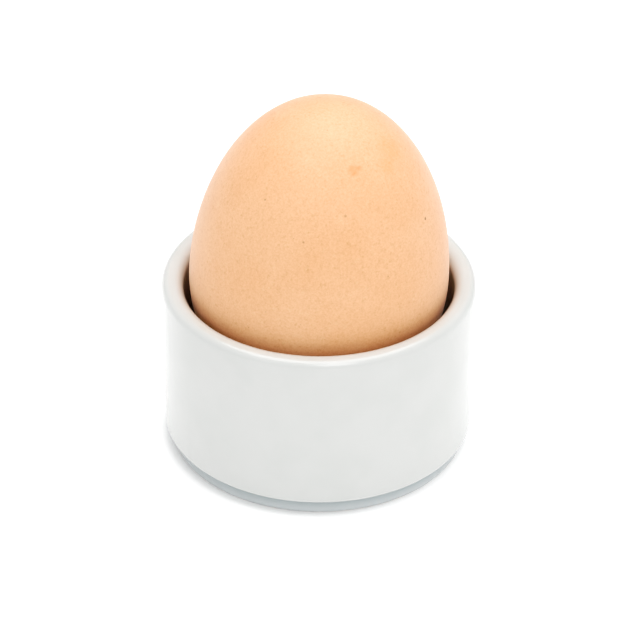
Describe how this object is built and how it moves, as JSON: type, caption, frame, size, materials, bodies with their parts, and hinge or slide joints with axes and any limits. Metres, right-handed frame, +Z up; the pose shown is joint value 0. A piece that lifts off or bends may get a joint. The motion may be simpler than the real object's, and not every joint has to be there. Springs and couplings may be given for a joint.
{
  "type": "egg cup",
  "caption": "Round white porcelain egg cup with a thick rounded rim and a narrower foot ring, holding a whole brown hen's egg that lifts straight out.",
  "frame": {"origin": "centre of the foot ring's contact face", "axes": "+Z up, the way the egg lifts out; -Y is the front; the egg leans a little to +X"},
  "size_m": [0.053, 0.053, 0.0642],
  "materials": {
    "porcelain": "gloss",
    "eggshell": "satin",
    "membrane": "satin",
    "egg_white": "satin",
    "egg_yolk": "matte",
    "chalaza": "satin"
  },
  "bodies": {
    "egg_cup": {"egg_cup": "porcelain"},
    "egg": {"eggshell": "eggshell", "outer_shell_membrane": "membrane", "inner_shell_membrane": "membrane", "egg_white": "egg_white", "yolk_membrane": "membrane", "egg_yolk": "egg_yolk", "chalaza_upper": "chalaza", "chalaza_lower": "chalaza"}
  },
  "joints": [
    {"name": "egg_lift", "type": "slide", "parent": "egg_cup", "child": "egg", "axis": [0, 0, 1], "range_m": [0, 0.03]}
  ]
}
